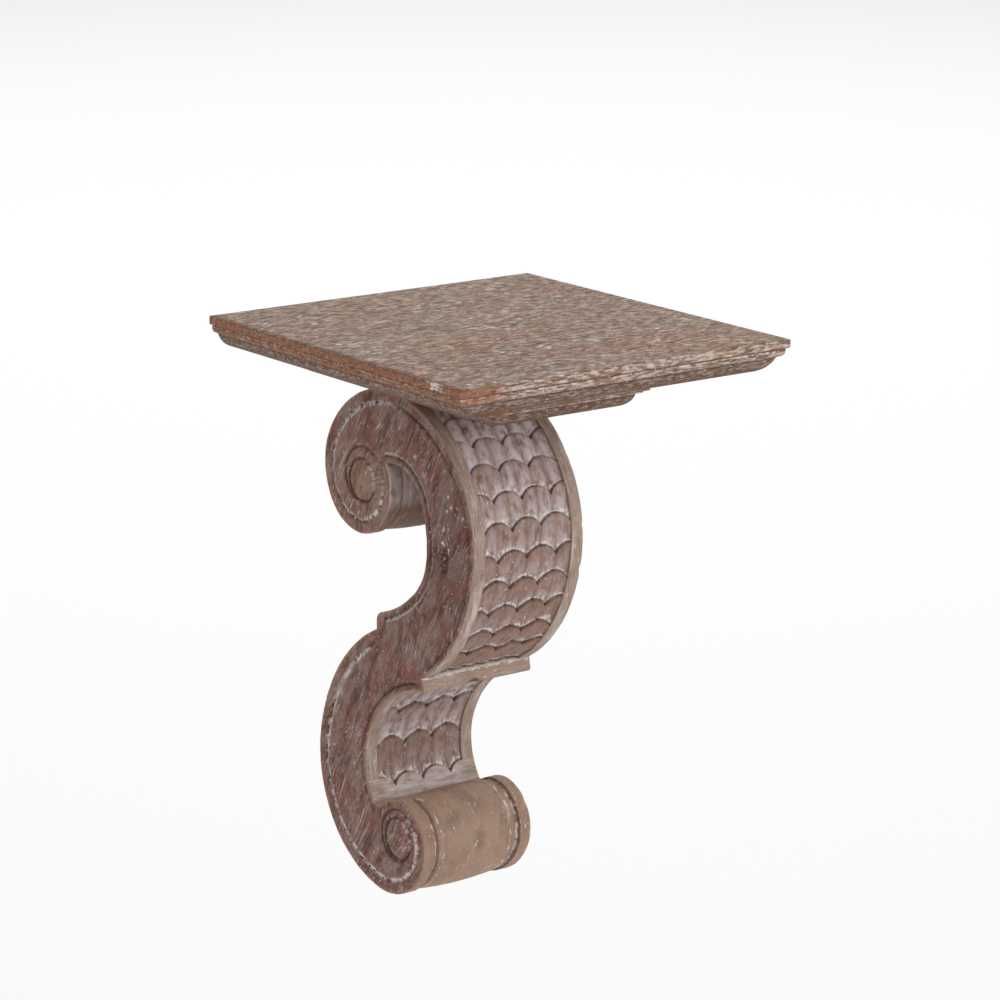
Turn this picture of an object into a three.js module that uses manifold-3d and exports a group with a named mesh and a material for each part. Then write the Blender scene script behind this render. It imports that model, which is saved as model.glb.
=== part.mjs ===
// Decorative bracket: a moulded shelf board on a moulded bearer block, carried by a carved S-scroll.
// Units are millimetres. +Z is up, -Y is the front and X runs along the shelf.
// The origin is on the wall, at the middle of the bearer block's flat back.

import * as THREE from 'three';
import { mergeVertices } from 'three/addons/utils/BufferGeometryUtils.js';
import Module from 'manifold-3d';

// Shelf board and its moulding: a fascia, a bead and an ovolo on the front and both sides
const boardWidth = 300;
const boardDepth = 310;
const boardThickness = 26;
const boardMoulding = { fascia: 6.2, step: 2.5, bead: 4, beadDrop: 13.4, ovolo: 17.5, ovoloInset: 24 };

// Bearer block under the board and its moulding
const blockWidth = 149;
const blockDepth = 243;
const blockHeight = 27.7;
const blockMoulding = { fascia: 14.4, step: 3.6, bead: 1.6, beadDrop: 16.4, ovolo: 12.5, ovoloInset: 20 };

// Pieces that touch keep this gap
const jointGap = 0.3;

// Scroll: its side view is an S of tangent arcs. Those of a positive radius turn left on the way
// up the front, over the crown and down the back.
const scrollWidth = 102;
const crownCut = 1.7;
const bulgeHeading = 30;
const bulgeArcs = [
  { radius: 125.5, degrees: 56 },
  { radius: 99.8, degrees: 37.8 },
  { radius: 115.6, degrees: 43.8 },
];
const voluteArcs = [
  { radius: 88.4, degrees: 69.1 },
  { radius: 53.5, degrees: 59.7 },
  { radius: 44.7, degrees: 57.6 },
  { radius: 41.1, degrees: 105.5 },
  { radius: 32.4, degrees: 25.6 },
];
const limbHeading = 15;
const limbArcs = [
  { radius: -36.9, degrees: 82.4 },
  { radius: -91, degrees: 24.1 },
  { radius: -48.3, degrees: 45.8 },
  { radius: -108, degrees: 26 },
];
const stepArcs = [{ radius: 7.7, degrees: 57 }];
const stepHeight = 9;
const lowerHeading = 205.6;
const lowerArcs = [{ radius: 133.7, degrees: 53.6 }, { radius: 94.7, degrees: 92.8 }];
const rollArcs = [
  { radius: 51.3, degrees: 75.4 },
  { radius: 34, degrees: 98 },
  { radius: 32.3, degrees: 62.5 },
];
const hollowHeading = 183;
const hollowArcs = [{ radius: 80.3, degrees: 65.6 }, { radius: 52.8, degrees: 63 }];
const bandHeight = 11;
const bandLean = 2;

// Carved front: a plain fillet along each edge and a sunk field of scales between them.
// Arches point up; the depths count inwards from the fillets.
const filletWidth = 11;
const fieldSink = 8;
const scalesAcross = 3;
const archRise = 8.1;
const archStep = 0.8;
const scaleTopDepth = 0.8;
const scaleFootDepth = 4;
const reedDepth = 0.9;
const upperField = { from: 0, to: 284, firstArch: 37, pitch: 23, plainBelowFirst: false };
const lowerField = { from: 3, to: 138, firstArch: 20, pitch: 30.5, plainBelowFirst: true };

// Turned look of the roll and the volute: a rim disc at each end, a cove beside it, a full barrel between
const rimWidth = 10.5;
const coveWidth = 4.5;
const coveDepth = 3.2;
const coveSlope = 1.4;
const shoulderDepth = 1.2;
const barrelSwell = 0.8;

// Incised line on both side faces, a steady distance inside the outline, that winds in to an eye
const lineWidth = 2.6;
const lineDepth = 1.6;
const outerInset = 10;
const innerInset = 6;
const voluteEye = { arc: 3, out: 7.8, up: 1.3, radius: 15.5, turns: 0.75 };
const rollEye = { arc: 1, out: 0.5, up: 1, radius: 16, turns: 0.75 };

// Worn notch in the lower edge of the waist band
const notchRadius = 9;
const notchBite = 3.5;
const notchAcross = -4;

// A relief is bedded this far into the wood beside it
const jointBed = 0.3;

// Shares of the last full arcs at which the lines leave the border, and where the volute's barrel runs
const voluteBorderShare = 0.8;
const rollBorderShare = 0.7;
const voluteBarrelArc = 2;
const voluteBarrelEnd = 6;

// How finely curves are cut into flats
const arcStepDegrees = 7;
const samplesPerScale = 8;
const linesPerScale = 3;
const stripStep = 8;
const lineStep = 11;
const ringSides = 18;
const notchSides = 12;
const mergeTolerance = 1e-4;

const wasm = await Module();
wasm.setup();

// Heights count up from the origin, at the middle of the block's back
const blockTop = blockHeight / 2;
const boardTop = blockTop + jointGap + boardThickness;
const seat = -blockHeight / 2 - jointGap;

// A path in the side view, in distances out from the wall and up, made of tangent arcs
class SidePath {
  constructor(start, headingDegrees, arcs) {
    this.end = start.clone();
    this.heading = THREE.MathUtils.degToRad(headingDegrees);
    this.pieces = [];
    this.length = 0;
    for (const { radius, degrees } of arcs) this.addArc(radius, degrees);
  }

  addArc(radius, degrees) {
    const side = Math.sign(radius);
    const size = Math.abs(radius);
    const leftward = new THREE.Vector2(-Math.sin(this.heading), Math.cos(this.heading));
    const center = this.end.clone().addScaledVector(leftward, radius);
    const startAngle = this.heading - side * Math.PI / 2;
    const sweep = side * THREE.MathUtils.degToRad(degrees);
    const run = size * Math.abs(sweep);
    this.pieces.push({ from: this.length, run, center, size, side, startAngle, degrees });
    this.length += run;
    this.heading += sweep;
    this.end = center.clone().add(new THREE.Vector2(size, 0).rotateAround(new THREE.Vector2(), startAngle + sweep));
  }

  get headingDegrees() {
    return THREE.MathUtils.radToDeg(this.heading);
  }

  // The point at a distance along the path and the normal to the right of the travel
  at(distance) {
    const last = this.pieces[this.pieces.length - 1];
    const piece = this.pieces.find((one) => distance <= one.from + one.run) ?? last;
    const angle = piece.startAngle + piece.side * (distance - piece.from) / piece.size;
    const radial = new THREE.Vector2(Math.cos(angle), Math.sin(angle));
    const point = piece.center.clone().addScaledVector(radial, piece.size);
    return { point, right: radial.multiplyScalar(piece.side) };
  }

  points(stepDegrees = arcStepDegrees) {
    const list = [];
    for (const piece of this.pieces) {
      const steps = Math.max(1, Math.round(piece.degrees / stepDegrees));
      for (let k = 0; k < steps; k++) list.push(this.at(piece.from + piece.run * k / steps).point);
    }
    list.push(this.end);
    return list;
  }
}

function indexedGeometry(positions, indices) {
  const geometry = new THREE.BufferGeometry();
  geometry.setAttribute('position', new THREE.Float32BufferAttribute(positions, 3));
  geometry.setIndex(indices);
  return geometry;
}

function toManifold(source) {
  const bare = source.clone();
  bare.deleteAttribute('normal');
  bare.deleteAttribute('uv');
  const merged = mergeVertices(bare, mergeTolerance);
  return new wasm.Manifold(new wasm.Mesh({
    numProp: 3,
    vertProperties: new Float32Array(merged.attributes.position.array),
    triVerts: new Uint32Array(merged.index.array),
  }));
}

function toGeometry(solid) {
  const mesh = solid.getMesh();
  return indexedGeometry(Array.from(mesh.vertProperties), Array.from(mesh.triVerts));
}

// A board with a moulding on its front and sides: each profile point is an inset and a drop
function mouldedBoard(width, depth, profile) {
  const positions = [];
  const indices = [];
  for (const [inset, drop] of profile) {
    const side = width / 2 - inset;
    const front = inset - depth;
    positions.push(-side, 0, -drop, -side, front, -drop, side, front, -drop, side, 0, -drop);
  }
  const last = 4 * (profile.length - 1);
  indices.push(0, 1, 2, 0, 2, 3);
  indices.push(last, last + 2, last + 1, last, last + 3, last + 2);
  for (let level = 0; level < last; level += 4) {
    for (let corner = 0; corner < 4; corner++) {
      const a = level + corner;
      const b = level + (corner + 1) % 4;
      indices.push(a, a + 4, b, b, a + 4, b + 4);
    }
  }
  return indexedGeometry(positions, indices);
}

// Fascia, step, bead and ovolo, from the top edge down to the underside
function mouldingProfile({ fascia, step, bead, beadDrop, ovolo, ovoloInset }, height) {
  const flats = 5;
  const stepFall = 0.7;
  const profile = [[0, 0], [0, fascia], [step, fascia + stepFall]];
  for (let k = 0; k <= flats; k++) {
    const angle = k / flats * Math.PI / 2;
    profile.push([step + bead * (1 - Math.cos(angle)), beadDrop - bead * (1 - Math.sin(angle))]);
  }
  const centerDrop = height - ovolo;
  const startAngle = Math.asin((beadDrop + stepFall - centerDrop) / ovolo);
  for (let k = 0; k <= flats; k++) {
    const angle = startAngle + (Math.PI / 2 - startAngle) * k / flats;
    profile.push([ovoloInset - ovolo * Math.cos(angle), centerDrop + ovolo * Math.sin(angle)]);
  }
  return profile;
}

// The same stretch travelled the other way
function turnedRound(path, arcs) {
  const back = arcs.map(({ radius, degrees }) => ({ radius: -radius, degrees })).reverse();
  return new SidePath(path.end, path.headingDegrees + 180, back);
}

// The side view's stretches in order round the solid, from the top front edge of the waist band up
function scrollPaths(bandTop) {
  const bulge = new SidePath(bandTop, bulgeHeading, bulgeArcs);
  const volute = new SidePath(bulge.end, bulge.headingDegrees, voluteArcs);
  const limb = new SidePath(volute.end, limbHeading, limbArcs);
  const step = new SidePath(limb.end, limb.headingDegrees, stepArcs);
  const lowerStart = step.end.clone().add(new THREE.Vector2(0, -stepHeight));
  const lower = new SidePath(lowerStart, lowerHeading, lowerArcs);
  const roll = new SidePath(lower.end, lower.headingDegrees, rollArcs);
  const bandFoot = bandTop.clone().add(new THREE.Vector2(bandLean, -bandHeight));
  const hollow = turnedRound(new SidePath(bandFoot, hollowHeading, hollowArcs), hollowArcs);
  return { bulge, volute, limb, step, lower, roll, hollow, bandFoot };
}

// Places the side view: the crown rises into the seat by crownCut and the lower back touches the wall
function placedScrollPaths() {
  const trial = scrollPaths(new THREE.Vector2());
  const heights = [...trial.bulge.points(1), ...trial.volute.points(1)].map((point) => point.y);
  const backs = trial.lower.points(1).map((point) => point.x);
  return scrollPaths(new THREE.Vector2(-Math.min(...backs), seat + crownCut - Math.max(...heights)));
}

// A drawing in Y and Z, pulled out along X
const pulledAlongX = new THREE.Matrix4().makeBasis(
  new THREE.Vector3(0, 1, 0),
  new THREE.Vector3(0, 0, 1),
  new THREE.Vector3(1, 0, 0),
);

function scrollBlank({ bulge, volute, limb, step, lower, roll, hollow }) {
  const outline = [bulge, volute, limb, step, lower, roll, hollow].flatMap((path) => path.points());
  const shape = new THREE.Shape(outline.map((point) => new THREE.Vector2(-point.x, point.y)));
  const geometry = new THREE.ExtrudeGeometry(shape, { depth: scrollWidth, bevelEnabled: false });
  geometry.translate(0, 0, -scrollWidth / 2);
  geometry.applyMatrix4(pulledAlongX);
  return toManifold(geometry);
}

// A closed slab on a path: columns run across, lines run along, and place() gives a line's spot and depth
function pathSlab(path, columns, lines, place, floorDepth) {
  const positions = [];
  const indices = [];
  for (const isFloor of [false, true]) {
    for (const line of lines) {
      for (const across of columns) {
        const { along, depth } = place(line, across);
        const { point, right } = path.at(along);
        point.addScaledVector(right, -(isFloor ? floorDepth : depth));
        positions.push(across, -point.x, point.y);
      }
    }
  }
  const wide = columns.length;
  const floor = wide * lines.length;
  const quad = (a, b, c, d) => indices.push(a, b, c, a, c, d);
  for (let i = 0; i + 1 < lines.length; i++) {
    for (let j = 0; j + 1 < wide; j++) {
      const a = i * wide + j;
      quad(a, a + 1, a + wide + 1, a + wide);
      quad(floor + a, floor + a + wide, floor + a + wide + 1, floor + a + 1);
    }
    const left = i * wide;
    const right = left + wide - 1;
    quad(left, left + wide, floor + left + wide, floor + left);
    quad(right, floor + right, floor + right + wide, right + wide);
  }
  for (let j = 0; j + 1 < wide; j++) {
    const far = (lines.length - 1) * wide + j;
    quad(j, floor + j, floor + j + 1, j + 1);
    quad(far, far + 1, floor + far + 1, floor + far);
  }
  return toManifold(indexedGeometry(positions, indices));
}

function evenly(from, to, parts) {
  return Array.from({ length: parts + 1 }, (_, k) => from + (to - from) * k / parts);
}

// Takes a strip of the surface away and beds a relief in its place
function withRelief(body, path, columns, lines, place) {
  const air = 6;
  const bed = 1.5;
  const ends = [lines[0], lines[lines.length - 1]].map((line) => place(line, 0).along);
  const steps = Math.ceil((ends[1] - ends[0]) / stripStep);
  const edges = [columns[0] + jointBed, columns[columns.length - 1] - jointBed];
  const open = (along) => ({ along, depth: -air });
  const cutter = pathSlab(path, edges, evenly(ends[0] + jointBed, ends[1] - jointBed, steps), open, fieldSink);
  return body.subtract(cutter).add(pathSlab(path, columns, lines, place, fieldSink + bed));
}

// Distance across from the middle of the arch that a place lies under; every second row is shifted by half
function offArch(across, row, scaleWidth) {
  const phase = across / scaleWidth + (row % 2 === 0 ? 0 : 0.5);
  return (phase - Math.floor(phase) - 0.5) * scaleWidth;
}

// Rows of scales whose round heads point up the path, each with two reeds
function withScales(body, path, field) {
  const halfWidth = scrollWidth / 2 - filletWidth;
  const scaleWidth = 2 * halfWidth / scalesAcross;
  const archRadius = ((scaleWidth / 2) ** 2 + archRise ** 2) / (2 * archRise);
  const arches = Math.floor((field.to - field.firstArch - archStep) / field.pitch) + 1;
  const archLine = (row, across) => {
    const off = offArch(across, row, scaleWidth);
    return field.firstArch + row * field.pitch + Math.sqrt(archRadius ** 2 - off ** 2) - archRadius;
  };
  const lines = [];
  for (let row = 0; row <= arches; row++) {
    for (const share of evenly(0, 1, linesPerScale)) lines.push({ row, share });
  }
  const place = ({ row, share }, across) => {
    const low = row === 0 ? field.from : archLine(row - 1, across) + archStep / 2;
    const high = row === arches ? field.to : archLine(row, across) - archStep / 2;
    const along = low + (high - low) * share;
    if (row === 0 && field.plainBelowFirst) return { along, depth: 0 };
    const lobe = Math.abs(Math.sin(2 * Math.PI * offArch(across, row, scaleWidth) / scaleWidth));
    const depth = scaleTopDepth + (scaleFootDepth - scaleTopDepth) * (1 - share) + reedDepth * (1 - lobe);
    return { along, depth };
  };
  const columns = evenly(-halfWidth, halfWidth, scalesAcross * samplesPerScale);
  columns[0] -= jointBed;
  columns[columns.length - 1] += jointBed;
  return withRelief(body, path, columns, lines, place);
}

// A full barrel between two coves, inside the plain rim at each end
function withBarrel(body, path, from, to) {
  const halfWidth = scrollWidth / 2 - rimWidth;
  const shoulder = halfWidth - coveWidth;
  const swell = (across) => barrelSwell - (barrelSwell + shoulderDepth) * (across / shoulder) ** 2;
  const depthAt = (across) => (Math.abs(across) > shoulder + jointBed ? coveDepth : -swell(across));
  const half = [shoulder / 3, shoulder * 2 / 3, shoulder, shoulder + coveSlope, halfWidth + jointBed];
  const columns = [...half.map((across) => -across).reverse(), 0, ...half];
  const lines = evenly(from, to, Math.ceil((to - from) / stripStep));
  return withRelief(body, path, columns, lines, (along, across) => ({ along, depth: depthAt(across) }));
}

// Places a steady distance inside the outline
function insetLine(path, from, to, inset) {
  const steps = Math.ceil((to - from) / lineStep);
  return evenly(from, to, steps).map((along) => {
    const { point, right } = path.at(along);
    return point.addScaledVector(right, -inset);
  });
}

// Winds on from a place, anticlockwise, until it meets the eye's ring
function windIn(start, center, eye) {
  const arm = start.clone().sub(center);
  const steps = Math.ceil(eye.turns * ringSides);
  return evenly(0, 1, steps).slice(1).map((share) => {
    const radius = arm.length() + (eye.radius - arm.length()) * share;
    return arm.clone().setLength(radius).rotateAround(new THREE.Vector2(), share * eye.turns * 2 * Math.PI).add(center);
  });
}

function ring(center, radius) {
  return evenly(0, 2 * Math.PI, ringSides).slice(0, -1).map((angle) => (
    new THREE.Vector2(radius, 0).rotateAround(new THREE.Vector2(), angle).add(center)));
}

// A V-shaped cutter along a line in the side view, for the side face that looks along `facing` X
function lineCutter(points, closed, facing) {
  const air = 0.6;
  const half = lineWidth / 2 * (lineDepth + air) / lineDepth;
  const positions = [];
  const indices = [];
  const count = points.length;
  points.forEach((point, k) => {
    const before = points[closed ? (k + count - 1) % count : Math.max(k - 1, 0)];
    const after = points[closed ? (k + 1) % count : Math.min(k + 1, count - 1)];
    const along = after.clone().sub(before).normalize();
    const aside = new THREE.Vector2(-along.y, along.x).multiplyScalar(half);
    const face = facing * (scrollWidth / 2 + air);
    const bottom = facing * (scrollWidth / 2 - lineDepth);
    positions.push(face, -(point.x + aside.x), point.y + aside.y);
    positions.push(face, -(point.x - aside.x), point.y - aside.y);
    positions.push(bottom, -point.x, point.y);
  });
  const triangle = (a, b, c) => (facing > 0 ? indices.push(a, b, c) : indices.push(a, c, b));
  const spans = closed ? count : count - 1;
  for (let k = 0; k < spans; k++) {
    for (let edge = 0; edge < 3; edge++) {
      const a = 3 * k + edge;
      const b = 3 * k + (edge + 1) % 3;
      const c = 3 * ((k + 1) % count) + (edge + 1) % 3;
      const d = 3 * ((k + 1) % count) + edge;
      triangle(a, c, b);
      triangle(a, d, c);
    }
  }
  if (!closed) {
    const last = 3 * (count - 1);
    triangle(0, 1, 2);
    triangle(last, last + 2, last + 1);
  }
  return toManifold(indexedGeometry(positions, indices));
}

// The lines on one side face: round each volute to its eye, up the limb and beside the hollow
function sideLines({ bulge, volute, limb, lower, roll, hollow }) {
  const openLines = [];
  const rings = [];
  const winding = (first, second, stop, eye) => {
    const center = second.pieces[eye.arc].center.clone().add(new THREE.Vector2(eye.out, eye.up));
    const border = insetLine(first, outerInset, first.length - 1, outerInset);
    border.push(...insetLine(second, 0, stop, outerInset));
    border.push(...windIn(border[border.length - 1], center, eye));
    openLines.push(border);
    rings.push(ring(center, eye.radius));
  };
  const voluteTurn = volute.pieces[voluteEye.arc];
  winding(bulge, volute, voluteTurn.from + voluteTurn.run * voluteBorderShare, voluteEye);
  const rollTurn = roll.pieces[rollEye.arc];
  winding(lower, roll, rollTurn.from + rollTurn.run * rollBorderShare, rollEye);
  openLines.push(insetLine(limb, 2 * innerInset, limb.length - innerInset, innerInset));
  openLines.push(insetLine(hollow, 2 * innerInset, hollow.length - 2 * innerInset, innerInset));
  return { openLines, rings };
}

function withSideLines(body, paths) {
  const { openLines, rings } = sideLines(paths);
  let carved = body;
  for (const facing of [-1, 1]) {
    for (const line of openLines) carved = carved.subtract(lineCutter(line, false, facing));
    for (const line of rings) carved = carved.subtract(lineCutter(line, true, facing));
  }
  return carved;
}

// The worn bite out of the waist band's lower edge
function withNotch(body, bandFoot) {
  const ball = new THREE.SphereGeometry(notchRadius, notchSides, notchSides);
  ball.translate(notchAcross, -(bandFoot.x + notchRadius - notchBite), bandFoot.y - notchBite);
  return body.subtract(toManifold(ball));
}

// The crown is cut flat where it meets the block
function withSeat(body) {
  const height = 60;
  const above = new THREE.BoxGeometry(2 * scrollWidth, 2 * boardDepth, height);
  above.translate(0, -boardDepth / 2, seat + height / 2);
  return body.subtract(toManifold(above));
}

function carvedScroll() {
  const paths = placedScrollPaths();
  const { volute, roll, bulge, hollow, bandFoot } = paths;
  let body = scrollBlank(paths);
  body = withScales(body, bulge, upperField);
  body = withScales(body, hollow, lowerField);
  body = withBarrel(body, roll, jointBed, roll.length - jointBed);
  body = withBarrel(body, volute, volute.pieces[voluteBarrelArc].from, volute.length - voluteBarrelEnd);
  body = withSideLines(body, paths);
  body = withNotch(body, bandFoot);
  return toGeometry(withSeat(body));
}

function piece(name, geometry, color, roughness, height) {
  const material = new THREE.MeshStandardMaterial({ color, roughness, metalness: 0 });
  const mesh = new THREE.Mesh(geometry, material);
  mesh.name = name;
  mesh.position.z = height;
  return mesh;
}

const bracket = new THREE.Group();
const boardShape = mouldedBoard(boardWidth, boardDepth, mouldingProfile(boardMoulding, boardThickness));
const blockShape = mouldedBoard(blockWidth, blockDepth, mouldingProfile(blockMoulding, blockHeight));
bracket.add(piece('shelf_board', boardShape, 0xa08c7c, 0.8, boardTop));
bracket.add(piece('bearer_block', blockShape, 0x94806c, 0.8, blockTop));
bracket.add(piece('scroll_bracket', carvedScroll(), 0x84705f, 0.75, 0));

export default bracket;
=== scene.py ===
"""The looks of a carved wall bracket shelf: limed board, moulded block and S-scroll, in metres."""

import math
from typing import NamedTuple

import bmesh
import bpy
import numpy as np
from bpy.props import FloatProperty, FloatVectorProperty, IntProperty, PointerProperty
from mathutils import Matrix, Vector, noise
from mathutils.geometry import delaunay_2d_cdt


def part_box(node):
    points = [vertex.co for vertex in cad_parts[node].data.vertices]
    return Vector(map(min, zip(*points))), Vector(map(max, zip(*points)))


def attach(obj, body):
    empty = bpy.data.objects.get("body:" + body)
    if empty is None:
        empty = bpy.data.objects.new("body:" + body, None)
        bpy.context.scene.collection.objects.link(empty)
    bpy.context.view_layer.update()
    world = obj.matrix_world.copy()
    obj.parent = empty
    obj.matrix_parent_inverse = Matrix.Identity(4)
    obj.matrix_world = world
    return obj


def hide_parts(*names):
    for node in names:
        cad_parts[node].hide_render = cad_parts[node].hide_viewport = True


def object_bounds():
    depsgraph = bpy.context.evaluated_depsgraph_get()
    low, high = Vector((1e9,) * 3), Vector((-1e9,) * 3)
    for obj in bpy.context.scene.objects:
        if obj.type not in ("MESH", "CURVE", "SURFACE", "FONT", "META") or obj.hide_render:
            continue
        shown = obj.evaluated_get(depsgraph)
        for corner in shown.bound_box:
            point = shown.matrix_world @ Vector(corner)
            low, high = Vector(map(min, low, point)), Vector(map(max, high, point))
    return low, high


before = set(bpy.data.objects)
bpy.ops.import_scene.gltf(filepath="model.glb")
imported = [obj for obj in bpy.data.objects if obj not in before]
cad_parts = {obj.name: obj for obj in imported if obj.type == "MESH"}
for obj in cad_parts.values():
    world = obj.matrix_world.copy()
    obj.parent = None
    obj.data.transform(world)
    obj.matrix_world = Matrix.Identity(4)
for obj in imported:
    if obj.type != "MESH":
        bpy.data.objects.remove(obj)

bl_info = {
    "name": "Limed Scroll Bracket",
    "version": (1, 0, 0),
    "blender": (4, 5, 0),
    "location": "3D View > Sidebar > Bracket",
    "description": "Makes a moulded shelf on a carved S-scroll in limed hardwood, with its stage",
    "category": "Add Mesh",
}

CAD_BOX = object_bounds()
BODY = "root"
MM = 0.001


def linear(hex_colour):
    """A hex sRGB colour as the linear colour that the shaders take."""
    channels = []
    for start in (0, 2, 4):
        value = int(hex_colour[start:start + 2], 16) / 255
        channels.append(value / 12.92 if value <= 0.04045 else ((value + 0.055) / 1.055) ** 2.4)
    return (*channels, 1.0)


def length(name, description, millimetres):
    """A length that the user can change, given in mm and kept in metres."""
    return FloatProperty(name=name, description=description, default=millimetres * MM, min=0, unit="LENGTH")


def box_length(name, description, node, axis):
    """A length whose default is the side of a CAD node's box."""
    low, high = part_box(node)
    return length(name, description, (high[axis] - low[axis]) / MM)


def colour(name, description, hex_colour):
    """A colour that the user can change."""
    return FloatVectorProperty(
        name=name, description=description, default=linear(hex_colour), subtype="COLOR", size=4, min=0, max=1
    )


class ShelfBoardSizes(bpy.types.PropertyGroup):
    """Sizes of the shelf board and its moulding."""

    width: box_length("Width", "Along the wall", "shelf_board", 0)
    depth: box_length("Depth", "Out from the wall", "shelf_board", 1)
    thickness: box_length("Thickness", "Top to underside", "shelf_board", 2)
    fascia: length("Fascia", "Height of the flat band at the top edge", 6.2)
    step: length("Step", "How far the bead stands back from the fascia", 2.5)
    bead: length("Bead", "Radius of the bead", 4)
    bead_drop: length("Bead drop", "From the top face to the foot of the bead", 13.4)
    ovolo: length("Ovolo", "Radius of the large round", 17.5)
    ovolo_inset: length("Ovolo inset", "How far in the large round ends", 24)
    arris: length("Worn arris", "Mean rounding of the worn edges", 0.9)


class BearerBlockSizes(bpy.types.PropertyGroup):
    """Sizes of the bearer block and its moulding."""

    width: box_length("Width", "Along the wall", "bearer_block", 0)
    depth: box_length("Depth", "Out from the wall", "bearer_block", 1)
    thickness: box_length("Height", "Top to underside", "bearer_block", 2)
    fascia: length("Fascia", "Height of the flat band at the top edge", 14.4)
    step: length("Step", "How far the bead stands back from the fascia", 3.6)
    bead: length("Bead", "Radius of the bead", 1.4)
    bead_drop: length("Bead drop", "From the top face to the foot of the bead", 16.9)
    ovolo: length("Ovolo", "Radius of the large round", 12.5)
    ovolo_inset: length("Ovolo inset", "How far in the large round ends", 20)
    arris: length("Worn arris", "Mean rounding of the worn edges", 0.7)


class ScrollSizes(bpy.types.PropertyGroup):
    """Sizes of the carving on the scroll."""

    width: box_length("Width", "Along the wall", "scroll_bracket", 0)
    fillet: length("Fillet", "Plain strip along each front edge", 11)
    scales_across: IntProperty(name="Scales across", description="Scales in a full row", default=3, min=1)
    arch_rise: length("Arch rise", "How far a scale's round head rises", 8.1)
    scale_top: length("Scale top", "Depth of a scale's head below the fillet", 0.6)
    scale_foot: length("Scale foot", "Depth of a scale's foot below the fillet", 3.1)
    reed: length("Reed", "Depth of the groove between the lobes of a scale", 1.2)
    rim: length("Rim", "Width of the plain disc at each end of a roll", 10.5)
    cove: length("Cove", "Width of the hollow beside a rim", 4.5)
    cove_depth: length("Cove depth", "Depth of the hollow beside a rim", 3.2)
    barrel_fall: length("Barrel fall", "How much thinner the barrel is at its ends", 2)
    line_width: length("Line width", "Width of the incised lines on the sides", 3.4)
    line_depth: length("Line depth", "Depth of the incised lines on the sides", 1.6)
    arris: length("Worn arris", "Least rounding of the worn edges", 0.8)


class FinishColours(bpy.types.PropertyGroup):
    """Stains and lime of the finish."""

    board_brown: colour("Board brown", "Grey-brown stain on the board", "866f5f")
    # Also the colour of the painted shade in the board's quirks and under its bead and large round, laid
    # through the dark mark
    board_dark_and_shade: colour("Board dark", "Dark lines of the board's grain", "543f33")
    edge_brown: colour("Edge brown", "Warm brown where the board's left and front edges are worn", "8f5c3a")
    warm_tan: colour("Warm tan", "Bare wood where the roll and the arrises are rubbed", "9f7e66")
    board_light: colour("Board light", "Lime rubbed thin in the board's open grain", "b9a799")
    side_brown: colour("Side brown", "Red-brown stain on the scroll's flat sides", "866d63")
    # Also the colour of the painted shade in the incised lines, at the scales' steps, along the field's wall
    # and in the coves, laid through the dark mark with the knot and the bite's stain
    side_dark_and_shade: colour("Side dark", "Dark stain in the cuts and in the sides' grain", "40291f")
    side_red: colour("Side red", "Redder wood showing through the stain", "784c41")
    scale_brown: colour("Scale brown", "Stain on the scales", "795c4f")
    fillet_tan: colour("Fillet tan", "Worn light wood of fillets, band and rolls", "99867a")
    # Its lightness also serves as painted light on the upper rows of scales, which lie in the board's shadow
    film: colour("Film", "Thin lilac-grey film of lime over the scales", "d3c9ce")
    lime: colour("Lime", "Rubbed white lime in pores and cuts", "ddd6d2")
    floor: colour("Floor", "Pale floor", "fbfafa")


# The scroll's side view: arcs as (radius in mm, degrees). A positive radius turns left on the way
# up the front, over the crown and down the back.
BULGE_HEADING = 30
BULGE_ARCS = ((125.5, 56), (99.8, 37.8), (115.6, 43.8))
VOLUTE_ARCS = ((88.4, 69.1), (53.5, 59.7), (44.7, 57.6), (41.1, 105.5), (32.4, 25.6))
LIMB_HEADING = 15
LIMB_ARCS = ((-36.9, 82.4), (-91, 24.1), (-48.3, 45.8), (-108, 26))
STEP_ARCS = ((7.7, 57),)
STEP_HEIGHT = 9
LOWER_HEADING = 205.6
LOWER_ARCS = ((133.7, 53.6), (94.7, 92.8))
ROLL_ARCS = ((51.3, 75.4), (34, 98), (32.3, 62.5))
HOLLOW_HEADING = 183
HOLLOW_ARCS = ((80.3, 65.6), (52.8, 63))
BAND_HEIGHT = 11
BAND_LEAN = 2
BAND_ARRIS = 1.6
CROWN_CUT = 1.7

# Rows of scales, in mm along the path: start, end, first arch and the pitch of the rows
UPPER_ROWS = {"start": 0, "end": 276, "first": 37, "pitch": 23, "plain_first": False}
LOWER_ROWS = {"start": 3, "end": 138, "first": 20, "pitch": 30.5, "plain_first": True}
ARCH_STEP = 0.8
ROWS_CLEAR = 0.3
# One scale, in mm: how far its head drifts, it tilts and its lip turns down, over what width it gets
# shallower at the fillets, and how high above its foot the lime is caught and how far it spreads
SCALE = {"drift": 1.8, "tilt": 0.9, "lip": 0.9, "fading": 3, "caught": 1.9, "spread": (1.6, 1.8)}
# The film on the plain strip under the lower rows, and the width in mm over which it fades at the fillets
STRIP_FILM = {"most": 0.4, "fading": 8}

# Where a line is cut round an eye: which arc's centre, how far off it, the ring and the turns of the wind
VOLUTE_EYE = {"arc": 3, "off": (3.6, 1), "radius": 16.2, "turns": 0.75, "share": 0.8}
ROLL_EYE = {"arc": 1, "off": (-0.9, 2.5), "radius": 16, "turns": 0.75, "share": 0.7}
WIND_BEND = 1.8
ARRIS_INSET = 5
BORDER_INSET = 10
INNER_INSET = 6
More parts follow.
